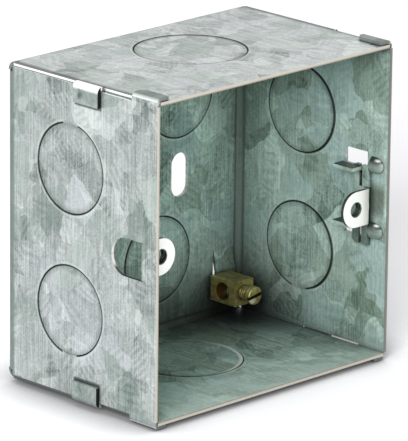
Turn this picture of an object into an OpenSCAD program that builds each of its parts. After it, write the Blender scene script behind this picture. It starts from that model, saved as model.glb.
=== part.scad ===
// Single-gang flush back box, pressed from one galvanised sheet and folded to an open-fronted box.
// X is the width, Y the depth from the open front to the back, Z the height. Sizes in millimetres.

/* [Box] */
// Width over the two side walls
box_w = 72; // [68:1:90]
// Height over the top and bottom plates
box_h = 72; // [70:1:90]
// Depth from the front edge to the back
box_d = 47; // [44:1:60]
// Thickness of the sheet
sheet_t = 0.8; // [0.6:0.1:1]
// Inside radius of the four bends at the back
bend_r = 1.2; // [0.6:0.1:2]

/* [Seams] */
// Clearance between a side wall's edge and the plate beside it
seam_gap = 0.1; // [0.05:0.05:0.3]
// How far a plate's side edge stops short of the box's side
seam_inset = 0.4; // [0.3:0.05:0.6]
// Extra height of the open slit between the corner tab and the side tab
slit_h = 0.2; // [0.1:0.05:0.5]
// How much narrower a plate is where it bends into the back
bend_inset = 0.4; // [0.2:0.1:1]

/* [Corner tabs] */
// Length of the tab along the front of each plate
corner_tab_len = 7.6; // [5:0.2:10]
// How far the tab reaches over the plate
corner_tab_w = 3.5; // [2.5:0.1:5]
// Distance of the tab behind the front edge
corner_tab_setback = 0.3; // [0:0.1:1]
// Chamfer on the tab's free back corner
corner_tab_chamfer = 1.2; // [0.4:0.1:2]
// Clearance between the tab and the plate under it
corner_tab_gap = 0.15; // [0.05:0.05:0.4]
// Inside radius of the tab's bend
corner_tab_bend_r = 0.6; // [0.3:0.1:1]

/* [Side tabs] */
// Width of the tab that a plate laps over a side wall
side_tab_w = 7.7; // [5:0.1:9]
// Distance of the tab's middle behind the front edge
side_tab_y = 21.2; // [19:0.2:25]
// How far the tab reaches down from the plate's outer face
side_tab_drop = 4.6; // [4:0.1:6]
// Clearance between the tab and the wall's outer face
side_tab_gap = 0.1; // [0.05:0.05:0.3]
// Inside radius of the tab's bend
side_tab_bend_r = 0.5; // [0.3:0.1:0.6]
// Clearance behind the tab, where the plate widens again
side_tab_clear = 0.3; // [0.1:0.05:0.6]
// Diameter of the staking dimple in the tab
dimple_d = 2.6; // [2:0.1:3.6]
// Depth of the staking dimple
dimple_depth = 0.35; // [0.2:0.05:0.5]
// Distance of the dimple behind the tab's middle
dimple_back = 1.9; // [0:0.1:2.2]

/* [Knockouts] */
// Diameter of the knockouts in the side walls and the back
knockout_d = 20.2; // [16:0.1:21]
// Diameter of the knockouts in the top and bottom plates
plate_knockout_d = 25; // [16:0.5:27]
// Width of the groove where a knockout is half sheared
knockout_groove = 0.3; // [0.1:0.02:0.4]
// Thickness of the skin left between the grooves of the two faces
knockout_skin = 0.15; // [0.1:0.05:0.3]
// Width of the tag that still holds a knockout
knockout_tag = 4.4; // [2:0.2:6]
// How far a knockout is pressed inward
knockout_sink = 0.12; // [0.05:0.01:0.3]
// Distance of the wall and plate knockouts behind the front edge
knockout_y = 26.7; // [26:0.1:28]
// How far a side wall's knockout lies off the middle between the box's middle and the side tab
side_knockout_shift = 0.3; // [0:0.1:1]
// Distance between the two upper knockouts of the back
back_knockout_pitch = 32.4; // [28:0.4:34]
// How far an upper back knockout lies off the middle between the slot and the bend
upper_knockout_shift = 0.7; // [0:0.1:1.4]
// How far a lower back knockout lies off the middle between the slot and the bend
lower_knockout_shift = 0.9; // [0:0.1:1.4]
// Distance of the lower right back knockout from the middle, clear of the earth terminal
back_knockout_x = 9.4; // [6:0.2:11]

/* [Fixing slots] */
// Width of the two fixing slots in the back
slot_w = 5.2; // [4:0.1:6]
// Length of the fixing slots
slot_len = 10.3; // [7:0.1:14]
// Distance between the two slots
slot_pitch = 32.6; // [26:0.2:40]

/* [Lugs] */
// Distance of both lugs behind the front edge
lug_setback = 4.5; // [4:0.1:6]
// Distance of a lug's screw hole from the box's side
lug_inset = 5.85; // [5:0.05:7]
// Radius of a lug's round end
lug_r = 4.1; // [3.5:0.1:4.3]
// Diameter of the tapped hole at the root of its thread
lug_hole_d = 3.3; // [2.5:0.1:3.5]
// Length of the drawn collar behind a tapped hole
lug_collar = 1; // [0.5:0.1:1.5]
// Wall of the drawn collar
lug_collar_wall = 0.6; // [0.4:0.1:1]
// Depth of the countersink at the mouth of a tapped hole
lug_rim = 0.15; // [0.1:0.05:0.4]
// Inside radius of a lug's bend
lug_bend_r = 0.4; // [0.3:0.1:0.8]
// Clearance of the cut round the fixed lug
lug_cut_gap = 0.2; // [0.1:0.05:0.4]

/* [Adjustable lug] */
// Length of the slider that carries the lug
slider_len = 18.4; // [17:0.2:22]
// Width of the slider
slider_w = 4.6; // [4:0.1:5]
// How far the lug can travel up and down in all
slider_travel = 3.8; // [2:0.2:4.2]
// Width of the slots in the slider's two ends
slider_slot_w = 0.9; // [0.7:0.05:1.2]
// Running clearance of the slider in its guides
slider_gap = 0.15; // [0.1:0.05:0.3]
// Chamfer on the slider's corners
slider_chamfer = 0.7; // [0.3:0.1:1]

/* [Slider guides] */
// Distance of each guide tab's inner face from the middle
guide_z = 6.1; // [5.5:0.1:6.5]
// How far a guide tab stands into the box
guide_reach = 4.1; // [2.5:0.1:4.5]
// Width of a guide tab's root behind the slider
guide_root_w = 3.2; // [2:0.1:4]
// Height of the window that the upper guide was lanced from, above its bend
guide_window_h = 3.3; // [2.5:0.1:4]
// Height of the lower guide's window, below its bend
guide_low_window_h = 2.6; // [2.5:0.1:4]
// Inside radius of a guide tab's bend
guide_bend_r = 0.3; // [0.2:0.05:0.4]
// Length of the pressed nose in front of the slider
nose_len = 3.9; // [3:0.1:4.2]
// Half width of the pressed nose
nose_half_w = 1.95; // [1.5:0.05:2.2]
// Height of the pressed nose
nose_h = 1.1; // [0.6:0.05:1.3]
// Distance of each nose's middle from the box's middle
nose_z = 7.6; // [7:0.1:9]
// Fullness of the nose's rounded end, from square to a plain ellipse
nose_round = 0.7; // [0.5:0.05:1]

/* [Earth tongue] */
// Width of the tongue lanced from the back
tongue_w = 5.8; // [4:0.1:6]
// Distance of the tongue's middle from the box's side
tongue_inset = 5.7; // [5:0.1:7]
// Height of the tongue's root above the bottom plate's lower face
tongue_root_z = 15.6; // [15:0.1:20]
// How far the tongue leans into the box
tongue_lean = 1.1; // [0.5:0.1:2]
// Clearance of the cut round the tongue
tongue_gap = 0.2; // [0.1:0.05:0.4]

/* [Earth terminal] */
// Width of the terminal block
block_w = 5.9; // [5:0.1:7]
// Length of the terminal block
block_len = 7.8; // [7:0.1:10]
// Height of the terminal block
block_h = 5.9; // [5:0.1:7]
// Distance of the block's middle from the tongue's middle, away from the side wall
block_offset = 1.9; // [1.4:0.1:2.2]
// Height of the block's middle above the bottom plate's lower face
block_z = 7.65; // [7:0.05:8]
// Chamfer on the block's long edges
block_chamfer = 0.15; // [0.1:0.05:0.6]
// Diameter of the wire hole
wire_hole_d = 3.9; // [2.5:0.1:4.2]
// Diameter of the block's rivet shank
rivet_d = 2.2; // [1.6:0.1:2.6]
// Diameter of the rivet's peened head
rivet_head_d = 3.6; // [3:0.1:4]
// Thickness of the rivet's peened head
rivet_head_t = 0.5; // [0.3:0.05:0.8]
// Distance of the rivet from the tongue's middle, toward the block
rivet_offset = 0.4; // [0:0.1:0.6]

/* [Earth screw] */
// Diameter of the screw over its thread
screw_d = 3.4; // [2.5:0.1:3.6]
// Radial clearance of the screw in its tapped hole
screw_gap = 0.05; // [0.02:0.01:0.1]
// Diameter of the screw's head
screw_head_d = 4.3; // [3.8:0.1:5]
// Thickness of the screw's head
screw_head_t = 1.2; // [0.8:0.1:2]
// Bare length between the block and the head
screw_neck = 2.5; // [1.8:0.1:3]
// Length of the screw's blunt point
screw_point = 0.7; // [0.3:0.1:1]
// Width of the screwdriver slot
screw_slot_w = 0.8; // [0.5:0.1:1]
// Depth of the screwdriver slot
screw_slot_depth = 0.6; // [0.3:0.1:0.8]
// Angle of the screwdriver slot above level
screw_slot_angle = 6; // [0:1:90]

/* [Hidden] */
$fn = 64;
cut = 1;
bend_out = bend_r + sheet_t;
mid_z = box_h / 2;
half_w = box_w / 2;
inner_x = half_w - sheet_t;
wall_low = sheet_t + seam_gap;
tab_rise = corner_tab_gap + sheet_t;
corner_tab_end = corner_tab_setback + corner_tab_len;
side_tab_back = side_tab_y + side_tab_w / 2;
slit_back = side_tab_back + side_tab_clear;
side_knockout_z = (mid_z - side_tab_drop) / 2 + side_knockout_shift;
back_knockout_space = (slot_len / 2 + mid_z - bend_out) / 2;
lug_x = half_w - lug_inset;
lug_hole_r = lug_hole_d / 2;
collar_r = lug_hole_r + lug_collar_wall;
slider_out = inner_x - slider_gap;
slider_in = slider_out - sheet_t;
slider_front = lug_setback + lug_bend_r;
slider_back = slider_front + slider_w;
slot_y = (slider_front + slider_back) / 2;
slot_end = guide_z - slider_travel / 2;
neck_w = slider_slot_w - 2 * slider_gap;
guide_back = slider_back + slider_gap + guide_root_w;
guide_front = slot_y - neck_w / 2;
nose_back = slider_front - slider_gap;
nose_axis = (nose_half_w * nose_half_w - nose_h * nose_h) / (2 * nose_h);
nose_r = nose_h + nose_axis;
nose_a = nose_len / pow(1 - pow(nose_axis / nose_r, 2 / nose_round), nose_round / 2);
nose_wall = sheet_t * 0.85;
back_in = box_d - sheet_t;
tongue_x = half_w - tongue_inset;
block_x = tongue_x - block_offset;
tongue_in = back_in - tongue_lean;
tongue_bend_z = block_z + block_h / 2 + 0.3;
tongue_end = block_z - block_h / 2 + 0.5;
block_back = tongue_in;
block_front = block_back - block_len;
wire_y = block_back - block_len / 2;
rivet_x = tongue_x - rivet_offset;
screw_hole_r = screw_d / 2 + screw_gap;

// Moves a piece from the box's own corner to the frame: middle in X and Y, lowest point at Z 0.
module in_frame() {
    translate([0, -box_d / 2, tab_rise]) children();
}

module both_sides() {
    children();
    mirror([1, 0, 0]) children();
}

module up_and_down() {
    children();
    translate([0, 0, box_h]) mirror([0, 0, 1]) children();
}

// Outline with two round back corners, open side at y = 0.
module bay(w, d, r) {
    translate([-w / 2, -cut]) square([w, d - r + cut]);
    translate([-w / 2 + r, -cut]) square([w - 2 * r, d + cut]);
    for (side = [-1, 1]) translate([side * (w / 2 - r), d - r]) circle(r);
}

// Section through two walls and the back, of full sheet thickness.
module wall_section(w) {
    difference() {
        intersection() {
            bay(w, box_d, bend_out);
            translate([-w / 2, 0]) square([w, box_d]);
        }
        bay(w - 2 * sheet_t, back_in, bend_r);
    }
}

// The two side walls with the part of the back between them.
module side_walls() {
    corner = bend_out + seam_gap;
    intersection() {
        linear_extrude(box_h) wall_section(box_w);
        union() {
            translate([-half_w - cut, -cut, wall_low])
                cube([box_w + 2 * cut, box_d - bend_out + cut, box_h - 2 * wall_low]);
            translate([-half_w - cut, -cut, corner])
                cube([box_w + 2 * cut, box_d + 2 * cut, box_h - 2 * corner]);
        }
    }
}

// The top and bottom plates with the part of the back between them.
module plates() {
    intersection() {
        translate([-half_w, 0, mid_z]) rotate([90, 0, 90]) linear_extrude(box_w) plate_section();
        union() {
            plate_strip(inner_x - seam_gap, -cut, slit_back + cut);
            plate_strip(half_w - seam_inset, slit_back, box_d - bend_out - slit_back);
            translate([-half_w + bend_out, 0, -cut])
                cube([box_w - 2 * bend_out, box_d + cut, box_h + 2 * cut]);
            for (z = [-cut, box_h - bend_out])
                translate([-half_w + seam_inset + bend_inset, box_d - bend_out, z])
                    cube([box_w - 2 * (seam_inset + bend_inset), bend_out + cut, bend_out + cut]);
        }
    }
}

// Part of the plates' outline, half_x wide to each side and len long.
module plate_strip(half_x, front, len) {
    translate([-half_x, front, -cut]) cube([2 * half_x, len, box_h + 2 * cut]);
}

// The plates' section, turned so that the box's height runs along its second axis.
module plate_section() {
    rotate(-90) mirror([1, 0]) wall_section(box_h);
}

// Stadium-shaped cutter along z, standing on its lower face.
module slot_cutter(w, len, depth) {
    for (side = [-1, 1]) translate([0, side * (len - w) / 2, 0]) cylinder(h = depth, d = w);
    translate([-w / 2, -(len - w) / 2, 0]) cube([w, len - w, depth]);
}

// Puts children on an outer face, with local z outward.
module on_left(y, z) {
    translate([-half_w, y, z]) rotate([0, -90, 0]) children();
}

module on_top(x, y) {
    translate([x, y, box_h]) children();
}

module on_back(x, z) {
    translate([x, box_d, z]) rotate([-90, 0, 0]) children();
}

// Groove in both faces round a knockout, broken by its tag, and the sink of its outer face.
module knockout_cut(d, tag_angle) {
    in_d = d - knockout_groove;
    out_depth = (sheet_t - knockout_skin) * 0.6;
    difference() {
        translate([0, 0, -sheet_t - knockout_sink - cut])
            cylinder(h = sheet_t + knockout_sink + 2 * cut, d = d + knockout_groove);
        translate([0, 0, -sheet_t - knockout_sink - 2 * cut])
            cylinder(h = sheet_t + 4 * cut, d = in_d);
        translate([0, 0, -out_depth - knockout_skin]) cylinder(h = knockout_skin, d = 2 * d);
        rotate(tag_angle) translate([0, -knockout_tag / 2, -sheet_t - knockout_sink - 2 * cut])
            cube([d, knockout_tag, sheet_t + 4 * cut]);
    }
    translate([0, 0, -knockout_sink]) cylinder(h = cut, d = in_d);
}

// Inner face of a knockout, pressed inward by its sink.
module knockout_disc(d) {
    translate([0, 0, -sheet_t - knockout_sink]) cylinder(h = sheet_t, d = d - knockout_groove);
}

// Every knockout of the box, as the cuts or as the discs that stay in them.
module knockouts(cutting) {
    back_x = back_knockout_pitch / 2;
    upper_z = mid_z + back_knockout_space - upper_knockout_shift;
    lower_z = mid_z - back_knockout_space + lower_knockout_shift;
    both_sides() up_and_down()
        on_left(knockout_y, mid_z + side_knockout_z) knockout(knockout_d, 0, cutting);
    up_and_down() on_top(0, knockout_y) knockout(plate_knockout_d, 90, cutting);
    both_sides() on_back(back_x, upper_z) knockout(knockout_d, -90, cutting);
    on_back(back_knockout_x, lower_z) knockout(knockout_d, 0, cutting);
    on_back(-back_x, lower_z) knockout(knockout_d, 180, cutting);
}

module knockout(d, tag_angle, cutting) {
    if (cutting) knockout_cut(d, tag_angle);
    else knockout_disc(d);
}

// Upper left side tab: the plate turned down over the wall's outer face.
module side_tab() {
    out_r = side_tab_bend_r + sheet_t;
    cx = half_w + side_tab_gap - side_tab_bend_r;
    cz = box_h - out_r;
    root = inner_x - seam_gap - 0.5;
    translate([0, side_tab_back, 0]) rotate([90, 0, 0]) linear_extrude(side_tab_w) mirror([1, 0]) {
        translate([root, box_h - sheet_t]) square([cx - root + 0.001, sheet_t]);
        translate([cx, cz]) bend_ring(side_tab_bend_r);
        translate([cx + side_tab_bend_r, box_h - side_tab_drop]) square([sheet_t, side_tab_drop - out_r + 0.001]);
    }
}

// Quarter ring of sheet round an inside radius, in the first quadrant.
module bend_ring(r) {
    intersection() {
        difference() {
            circle(r + sheet_t);
            circle(r);
        }
        square(r + sheet_t);
    }
}

// Sphere that presses the staking dimple into the tab's outer face.
module dimple_ball() {
    ball_r = (pow(dimple_d / 2, 2) + pow(dimple_depth, 2)) / (2 * dimple_depth);
    face_x = half_w + side_tab_gap + sheet_t;
    translate([-face_x - ball_r + dimple_depth, side_tab_y + dimple_back, box_h - side_tab_drop * 0.54])
        rotate([0, 0, 90]) sphere(ball_r, $fn = 48);
}

// The wall's edge is cut back from the corner tab to behind the side tab, which leaves an open slit.
module wall_edge_cut() {
    translate([-half_w - cut, corner_tab_end, box_h - wall_low - slit_h])
        cube([sheet_t + 2 * cut, slit_back - corner_tab_end, slit_h + seam_gap / 2]);
}

// Upper left corner tab: the side wall turned over the plate at the front.
module corner_tab() {
    out_r = corner_tab_bend_r + sheet_t;
    cx = half_w - out_r;
    cz = box_h + tab_rise - out_r;
    inner_edge = half_w - corner_tab_w;
    difference() {
        translate([0, corner_tab_end, 0]) rotate([90, 0, 0]) linear_extrude(corner_tab_len) mirror([1, 0]) {
            translate([inner_x, box_h - wall_low - sheet_t])
                square([sheet_t, cz - box_h + wall_low + sheet_t + 0.001]);
            translate([inner_edge, box_h + corner_tab_gap]) square([cx - inner_edge + 0.001, sheet_t]);
            translate([cx, cz]) bend_ring(corner_tab_bend_r);
        }
        translate([-inner_edge, corner_tab_end, box_h])
            rotate(45) cube([corner_tab_chamfer * sqrt(2), corner_tab_chamfer * sqrt(2), 4 * sheet_t], center = true);
    }
}

// Drawn collar and sheet round a tapped hole, along -Y, front face at y = lug_setback.
module lug_plate(inner_side) {
    translate([lug_x, lug_setback + sheet_t, 0]) rotate([90, 0, 0]) {
        cylinder(h = sheet_t, r = lug_r);
        translate([0, -lug_r, 0]) cube([inner_side - lug_x + 0.001, 2 * lug_r, sheet_t]);
        translate([0, 0, -lug_collar]) cylinder(h = lug_collar + 0.001, r = collar_r);
    }
}

// Tapped hole with its countersunk mouth.
module lug_hole() {
    translate([lug_x, lug_setback, 0]) rotate([-90, 0, 0]) {
        translate([0, 0, -cut]) cylinder(h = sheet_t + lug_collar + 2 * cut, r = lug_hole_r);
        translate([0, 0, -0.001]) cylinder(h = lug_rim, r1 = lug_hole_r + lug_rim, r2 = lug_hole_r);
    }
}

// The lug's bend, over the lug's height.
module lug_bend(turn) {
    translate([0, 0, -lug_r]) linear_extrude(2 * lug_r) rotate(turn) bend_ring(lug_bend_r);
}

// The fixed lug, lanced out of the left wall and turned inward.
module fixed_lug() {
    mirror([1, 0, 0]) translate([0, 0, mid_z]) {
        lug_plate(inner_x - lug_bend_r);
        translate([inner_x - lug_bend_r, lug_setback - lug_bend_r, 0]) lug_bend(0);
    }
}

// Cut that the fixed lug leaves in the left wall.
module lug_window() {
    start = lug_setback - lug_bend_r;
    centre = lug_setback + lug_inset - sheet_t;
    r = lug_r + lug_cut_gap;
    translate([-half_w - cut, 0, mid_z]) rotate([90, 0, 90]) linear_extrude(sheet_t + 2 * cut) {
        translate([centre, 0]) circle(r);
        translate([start, -r]) square([centre - start, 2 * r]);
    }
}

// Window above the upper guide tab, down to the start of the tab's bend.
module guide_window(h) {
    low = mid_z + guide_z - guide_bend_r;
    top = mid_z + guide_z + sheet_t + h;
    front = slider_front + slider_w * 0.25;
    translate([inner_x - cut, front, low])
        cube([sheet_t + 2 * cut, guide_back - front, top - low]);
}

// Upper guide tab: its root stands behind the slider, its arm reaches in front of the slider's back
// prong, and its narrow neck runs in the slider's slot.
module guide_tab() {
    cx = inner_x - guide_bend_r;
    cz = mid_z + guide_z - guide_bend_r;
    arm = slider_in - slider_gap;
    root_front = slider_back + slider_gap;
    translate([inner_x - guide_reach, guide_front, mid_z + guide_z])
        cube([arm - inner_x + guide_reach, guide_back - guide_front, sheet_t]);
    for (leg = [[guide_front, neck_w], [root_front, guide_root_w]]) {
        translate([arm - 0.001, leg[0], mid_z + guide_z]) cube([cx - arm + 0.002, leg[1], sheet_t]);
        translate([cx, leg[0] + leg[1], cz]) rotate([90, 0, 0]) linear_extrude(leg[1]) bend_ring(guide_bend_r);
    }
}

// Solid of revolution for the pressed nose, on an axis along Y outside the wall's inner face.
module nose_form(shrink) {
    steps = 8;
    a = nose_a - shrink;
    b = nose_r - shrink;
    profile = [for (i = [0:steps])
        [b * pow(sin(90 * i / steps), nose_round), a * pow(cos(90 * i / steps), nose_round)]];
    translate([inner_x + nose_axis, nose_back, mid_z + nose_z]) rotate([90, 0, 0])
        rotate_extrude($fn = 36) polygon(concat([[0, 0]], profile));
}

module nose() {
    intersection() {
        nose_form(0);
        translate([inner_x - nose_h - cut, 0, mid_z]) cube([nose_h + cut + 0.2, box_d, mid_z]);
    }
}

module nose_hollow() {
    intersection() {
        nose_form(nose_wall);
        translate([inner_x - nose_h - cut, 0, mid_z]) cube([nose_h + sheet_t + 2 * cut, box_d, mid_z]);
    }
}

// Cut in the back round the earth tongue.
module tongue_window() {
    translate([tongue_x - tongue_w / 2 - tongue_gap, back_in - cut, tongue_end - tongue_gap])
        cube([tongue_w + 2 * tongue_gap, sheet_t + 2 * cut, tongue_root_z - tongue_end + tongue_gap]);
}

// Earth tongue: leans into the box from its root, then hangs straight behind the terminal block.
module tongue() {
    lean_out = box_d - tongue_lean;
    difference() {
        translate([tongue_x - tongue_w / 2, 0, 0]) rotate([90, 0, 90]) linear_extrude(tongue_w)
            polygon([[back_in, tongue_root_z + 0.5], [back_in, tongue_root_z], [tongue_in, tongue_bend_z],
                [tongue_in, tongue_end], [lean_out, tongue_end], [lean_out, tongue_bend_z],
                [box_d, tongue_root_z], [box_d, tongue_root_z + 0.5]]);
        translate([rivet_x, tongue_in - cut, block_z]) rotate([-90, 0, 0])
            cylinder(h = sheet_t + 2 * cut, d = rivet_d + 0.1);
    }
}

module box_body() {
    color([0.74, 0.78, 0.77]) in_frame() {
        difference() {
            union() {
                side_walls();
                plates();
                knockouts(false);
            }
            knockouts(true);
            both_sides() up_and_down() wall_edge_cut();
            lug_window();
            guide_window(guide_window_h);
            translate([0, 0, box_h]) mirror([0, 0, 1]) guide_window(guide_low_window_h);
            up_and_down() nose_hollow();
            tongue_window();
            both_sides() on_back(slot_pitch / 2, mid_z) translate([0, 0, -sheet_t - cut])
                slot_cutter(slot_w, slot_len, sheet_t + 2 * cut);
        }
        both_sides() up_and_down() difference() {
            side_tab();
            dimple_ball();
        }
        both_sides() up_and_down() corner_tab();
        difference() {
            fixed_lug();
            mirror([1, 0, 0]) translate([0, 0, mid_z]) lug_hole();
        }
        up_and_down() guide_tab();
        up_and_down() difference() {
            nose();
            nose_hollow();
        }
        tongue();
    }
}

// Flat of the slider, with chamfered ends and a slot in each end.
module slider_plate() {
    end = slider_len / 2;
    c = slider_chamfer;
    translate([slider_in, 0, 0]) rotate([90, 0, 90]) linear_extrude(sheet_t) difference() {
        polygon([[slider_front, -end], [slider_back - c, -end], [slider_back, -end + c],
            [slider_back, end - c], [slider_back - c, end], [slider_front, end]]);
        for (side = [-1, 1])
            translate([slot_y - slider_slot_w / 2, side > 0 ? slot_end : -end - cut])
                square([slider_slot_w, end - slot_end + cut]);
        translate([slider_front - cut, -lug_r - lug_cut_gap])
            square([cut + lug_bend_r + sheet_t, 2 * (lug_r + lug_cut_gap)]);
    }
}

// The adjustable lug rests at the lower end of its travel.
module adjustable_lug() {
    bend_x = slider_in - lug_bend_r;
    bend_y = lug_setback + sheet_t + lug_bend_r;
    color([0.80, 0.83, 0.81]) in_frame() translate([0, 0, mid_z - slider_travel / 2]) {
        difference() {
            union() {
                slider_plate();
                lug_plate(bend_x);
                translate([bend_x, bend_y, 0]) lug_bend(-90);
                translate([slider_in, bend_y - 0.001, -lug_r]) cube([sheet_t, slider_gap + lug_bend_r, 2 * lug_r]);
            }
            lug_hole();
        }
    }
}

// Brass block with its rivet through the tongue, a wire hole across and a tapped hole from the front.
module earth_terminal_block() {
    w = block_w / 2;
    h = block_h / 2;
    c = block_chamfer;
    color([0.62, 0.58, 0.26]) in_frame() translate([0, 0, block_z]) difference() {
        union() {
            translate([block_x, block_back, 0]) rotate([90, 0, 0]) linear_extrude(block_len)
                polygon([[-w + c, -h], [w - c, -h], [w, -h + c], [w, h - c],
                    [w - c, h], [-w + c, h], [-w, h - c], [-w, -h + c]]);
            translate([rivet_x, block_back - 0.001, 0]) rotate([-90, 0, 0]) {
                cylinder(h = sheet_t + 0.002, d = rivet_d);
                translate([0, 0, sheet_t + 0.001]) cylinder(h = rivet_head_t, d = rivet_head_d);
            }
        }
        translate([block_x - w - cut, wire_y, 0]) rotate([0, 90, 0])
            cylinder(h = block_w + 2 * cut, d = wire_hole_d);
        translate([block_x, block_front - cut, 0]) rotate([-90, 0, 0])
            cylinder(h = wire_y - block_front + cut, r = screw_hole_r);
    }
}

// Slotted cheese-head screw, its blunt point at the middle of the wire hole.
module earth_terminal_screw() {
    head_y = block_front - screw_neck;
    shank = wire_y - head_y - screw_point;
    color([0.70, 0.66, 0.32]) in_frame() translate([block_x, head_y, block_z]) rotate([-90, 0, 0])
        difference() {
            union() {
                translate([0, 0, -screw_head_t]) cylinder(h = screw_head_t, d = screw_head_d);
                cylinder(h = shank, d = screw_d);
                translate([0, 0, shank]) cylinder(h = screw_point, d1 = screw_d, d2 = screw_d * 0.55);
            }
            rotate(-screw_slot_angle)
                translate([-screw_head_d, -screw_slot_w / 2, -screw_head_t - cut])
                    cube([2 * screw_head_d, screw_slot_w, screw_slot_depth + cut]);
        }
}

box_body();
adjustable_lug();
earth_terminal_block();
earth_terminal_screw();
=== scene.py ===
import math

import bpy
from mathutils import Matrix, Vector


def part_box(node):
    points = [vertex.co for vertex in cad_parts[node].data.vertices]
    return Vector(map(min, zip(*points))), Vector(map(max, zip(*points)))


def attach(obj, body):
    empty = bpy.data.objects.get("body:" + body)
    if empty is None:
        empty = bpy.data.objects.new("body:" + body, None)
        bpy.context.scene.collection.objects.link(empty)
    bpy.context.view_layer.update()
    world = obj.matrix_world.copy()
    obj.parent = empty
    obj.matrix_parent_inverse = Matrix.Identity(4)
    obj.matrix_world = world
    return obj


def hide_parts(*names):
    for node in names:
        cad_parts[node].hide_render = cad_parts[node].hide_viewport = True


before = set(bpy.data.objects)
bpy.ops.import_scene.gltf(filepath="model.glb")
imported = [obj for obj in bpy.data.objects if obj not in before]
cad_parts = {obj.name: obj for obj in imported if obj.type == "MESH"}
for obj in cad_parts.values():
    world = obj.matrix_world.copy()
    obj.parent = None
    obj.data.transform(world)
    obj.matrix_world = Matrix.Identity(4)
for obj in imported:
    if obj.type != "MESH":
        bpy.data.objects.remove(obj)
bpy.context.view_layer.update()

# Box body: mild steel sheet 0.8 mm thick, hot-dip galvanised in the coil, then blanked, lanced and
# folded into a box. The side tabs lap the walls and the corner tabs lap the top and bottom plates, so
# the corners lock without welding. The knockouts are half sheared and hang on their tags.
MM = 0.001
SHEET = 0.8 * MM
LAP = 0.95 * MM
BEND = 2.0 * MM
SIDE = 36.0 * MM
SEAM = 0.4 * MM
LUG_SETBACK = 4.5 * MM
SIDE_TAB = (17.35 * MM, 25.05 * MM)
CORNER_TAB = 7.9 * MM
CRYSTAL = 9.0 * MM
ROLL_LINE = 0.32 * MM

body_low, body_high = [Vector(corner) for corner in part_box("box_body")]
FRONT, BACK = body_low.y, body_high.y
BOTTOM, TOP = body_low.z + LAP, body_high.z - LAP
MIDDLE = (BOTTOM + TOP) / 2


def srgb(code):
    """An sRGB hex colour as linear RGBA."""
    channels = [int(code[i:i + 2], 16) / 255 for i in (1, 3, 5)]
    return [c / 12.92 if c <= 0.04045 else ((c + 0.055) / 1.055) ** 2.4 for c in channels] + [1.0]


def add_node(tree, kind, inputs, out=0, **settings):
    """Adds a node with its settings and links, and returns one of its outputs, or all with out=None."""
    node = tree.nodes.new(kind)
    for name, value in settings.items():
        setattr(node, name, value)
    for socket, value in inputs.items():
        if isinstance(value, bpy.types.NodeSocket):
            tree.links.new(value, node.inputs[socket])
        else:
            node.inputs[socket].default_value = value
    return node.outputs[:] if out is None else node.outputs[out]


def patch(tree, *bands):
    """1 where each coordinate lies between its two limits, fading out over its last value; 0 elsewhere."""
    area = None
    for coordinate, low, high, soft in bands:
        off = add_node(tree, "ShaderNodeMath", {0: coordinate, 1: (low + high) / 2}, operation="SUBTRACT")
        off = add_node(tree, "ShaderNodeMath", {0: off}, operation="ABSOLUTE")
        half = (high - low) / 2
        band = add_node(tree, "ShaderNodeMapRange", {0: off, 1: half + soft, 2: half - min(soft, half), 3: 0.0, 4: 1.0})
        area = band if area is None else add_node(tree, "ShaderNodeMath", {0: area, 1: band}, operation="MULTIPLY")
    return area


def tint(tree, colour, code, strength, *masks):
    """Lays a colour over another, as strongly as the masks say."""
    amount = strength
    for mask in masks:
        amount = add_node(tree, "ShaderNodeMath", {0: mask, 1: amount}, operation="MULTIPLY")
    return add_node(tree, "ShaderNodeMix", {0: amount, 6: colour, 7: srgb(code)}, out=2, data_type="RGBA")


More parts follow.
